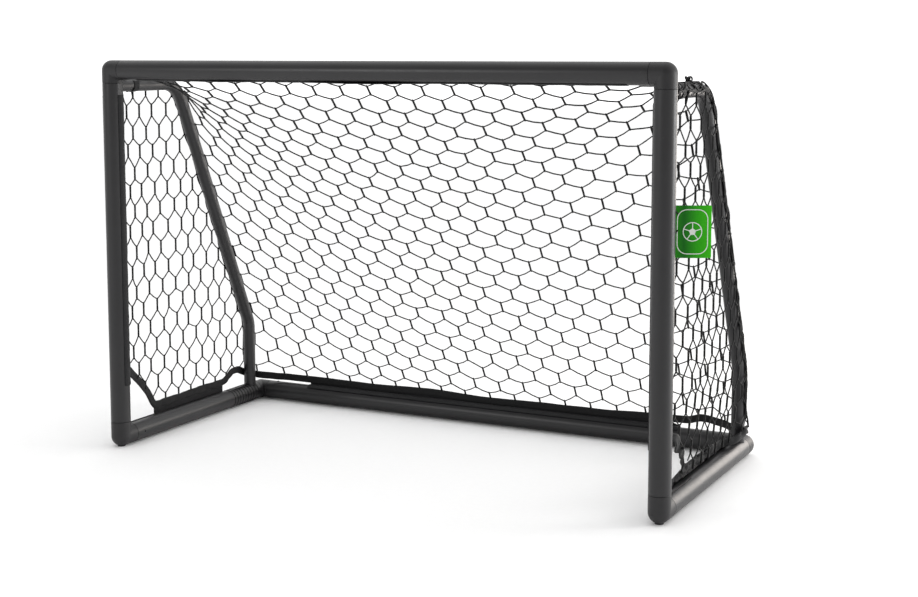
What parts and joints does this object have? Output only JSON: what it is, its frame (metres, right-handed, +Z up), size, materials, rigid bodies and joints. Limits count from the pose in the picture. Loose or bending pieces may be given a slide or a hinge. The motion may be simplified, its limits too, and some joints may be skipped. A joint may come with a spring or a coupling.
{
  "type": "soccer goal frame",
  "caption": "Small steel-tube soccer goal with plug-in corners, bent side stanchions, sprung snap buttons and a hexagonal net.",
  "frame": {"origin": "on the floor under the middle of the goal's outer box", "axes": "+X along the crossbar, +Y from the goal mouth to the back, +Z up"},
  "size_m": [1.8, 0.82, 1.18],
  "materials": {
    "tube": "satin powder coat on steel tube",
    "corner": "moulded plastic, satin, dark grey",
    "spring": "spring steel, bright",
    "button": "blackened steel pin, satin",
    "net": "knotless polyethylene net cord, black",
    "webbing": "woven polyester webbing and cloth, black",
    "sleeve": "woven polyester cloth, black",
    "label": "printed woven label, green"
  },
  "bodies": {
    "frame": {"crossbar": "tube", "back_base": "tube", "left_post": "tube", "left_side_base": "tube", "left_stanchion": "tube", "left_top_corner": "corner", "left_front_foot": "corner", "left_back_corner": "corner", "right_post": "tube", "right_side_base": "tube", "right_stanchion": "tube", "right_top_corner": "corner", "right_front_foot": "corner", "right_back_corner": "corner", "spring_clips": "spring", "left_net": "net", "left_hem": "webbing", "left_flap": "webbing", "left_post_sleeve": "sleeve", "left_arm_strap": "webbing", "right_net": "net", "right_hem": "webbing", "right_flap": "webbing", "right_post_sleeve": "sleeve", "right_arm_strap": "webbing", "back_net": "net", "back_hem": "webbing", "back_flap": "webbing", "crossbar_sleeve": "sleeve", "side_label": "label"},
    "left_crossbar_button": {"left_crossbar_button": "button"},
    "left_post_top_button": {"left_post_top_button": "button"},
    "left_post_foot_button": {"left_post_foot_button": "button"},
    "left_base_front_button": {"left_base_front_button": "button"},
    "left_base_rear_button": {"left_base_rear_button": "button"},
    "left_back_bar_button": {"left_back_bar_button": "button"},
    "left_arm_button": {"left_arm_button": "button"},
    "left_stanchion_button": {"left_stanchion_button": "button"},
    "right_crossbar_button": {"right_crossbar_button": "button"},
    "right_post_top_button": {"right_post_top_button": "button"},
    "right_post_foot_button": {"right_post_foot_button": "button"},
    "right_base_front_button": {"right_base_front_button": "button"},
    "right_base_rear_button": {"right_base_rear_button": "button"},
    "right_back_bar_button": {"right_back_bar_button": "button"},
    "right_arm_button": {"right_arm_button": "button"},
    "right_stanchion_button": {"right_stanchion_button": "button"}
  },
  "joints": [
    {"name": "left_crossbar_button_press", "type": "slide", "parent": "frame", "child": "left_crossbar_button", "axis": [0, -1, 0], "range_m": [0, 0.0041], "stiffness_N_per_m": 2500, "springref_m": -0.002},
    {"name": "left_post_top_button_press", "type": "slide", "parent": "frame", "child": "left_post_top_button", "axis": [0, -1, 0], "range_m": [0, 0.0041], "stiffness_N_per_m": 2500, "springref_m": -0.002},
    {"name": "left_post_foot_button_press", "type": "slide", "parent": "frame", "child": "left_post_foot_button", "axis": [0, -1, 0], "range_m": [0, 0.0041], "stiffness_N_per_m": 2500, "springref_m": -0.002},
    {"name": "left_base_front_button_press", "type": "slide", "parent": "frame", "child": "left_base_front_button", "axis": [-1, 0, 0], "range_m": [0, 0.0041], "stiffness_N_per_m": 2500, "springref_m": -0.002},
    {"name": "left_base_rear_button_press", "type": "slide", "parent": "frame", "child": "left_base_rear_button", "axis": [-1, 0, 0], "range_m": [0, 0.0041], "stiffness_N_per_m": 2500, "springref_m": -0.002},
    {"name": "left_back_bar_button_press", "type": "slide", "parent": "frame", "child": "left_back_bar_button", "axis": [0, 0, -1], "range_m": [0, 0.0041], "stiffness_N_per_m": 2500, "springref_m": -0.002},
    {"name": "left_arm_button_press", "type": "slide", "parent": "frame", "child": "left_arm_button", "axis": [0, 0, 1], "range_m": [0, 0.0041], "stiffness_N_per_m": 2500, "springref_m": -0.002},
    {"name": "left_stanchion_button_press", "type": "slide", "parent": "frame", "child": "left_stanchion_button", "axis": [0, 1, 0], "range_m": [0, 0.0041], "stiffness_N_per_m": 2500, "springref_m": -0.002},
    {"name": "right_crossbar_button_press", "type": "slide", "parent": "frame", "child": "right_crossbar_button", "axis": [0, -1, 0], "range_m": [0, 0.0041], "stiffness_N_per_m": 2500, "springref_m": -0.002},
    {"name": "right_post_top_button_press", "type": "slide", "parent": "frame", "child": "right_post_top_button", "axis": [0, -1, 0], "range_m": [0, 0.0041], "stiffness_N_per_m": 2500, "springref_m": -0.002},
    {"name": "right_post_foot_button_press", "type": "slide", "parent": "frame", "child": "right_post_foot_button", "axis": [0, -1, 0], "range_m": [0, 0.0041], "stiffness_N_per_m": 2500, "springref_m": -0.002},
    {"name": "right_base_front_button_press", "type": "slide", "parent": "frame", "child": "right_base_front_button", "axis": [1, 0, 0], "range_m": [0, 0.0041], "stiffness_N_per_m": 2500, "springref_m": -0.002},
    {"name": "right_base_rear_button_press", "type": "slide", "parent": "frame", "child": "right_base_rear_button", "axis": [1, 0, 0], "range_m": [0, 0.0041], "stiffness_N_per_m": 2500, "springref_m": -0.002},
    {"name": "right_back_bar_button_press", "type": "slide", "parent": "frame", "child": "right_back_bar_button", "axis": [0, 0, -1], "range_m": [0, 0.0041], "stiffness_N_per_m": 2500, "springref_m": -0.002},
    {"name": "right_arm_button_press", "type": "slide", "parent": "frame", "child": "right_arm_button", "axis": [0, 0, 1], "range_m": [0, 0.0041], "stiffness_N_per_m": 2500, "springref_m": -0.002},
    {"name": "right_stanchion_button_press", "type": "slide", "parent": "frame", "child": "right_stanchion_button", "axis": [0, 1, 0], "range_m": [0, 0.0041], "stiffness_N_per_m": 2500, "springref_m": -0.002}
  ]
}
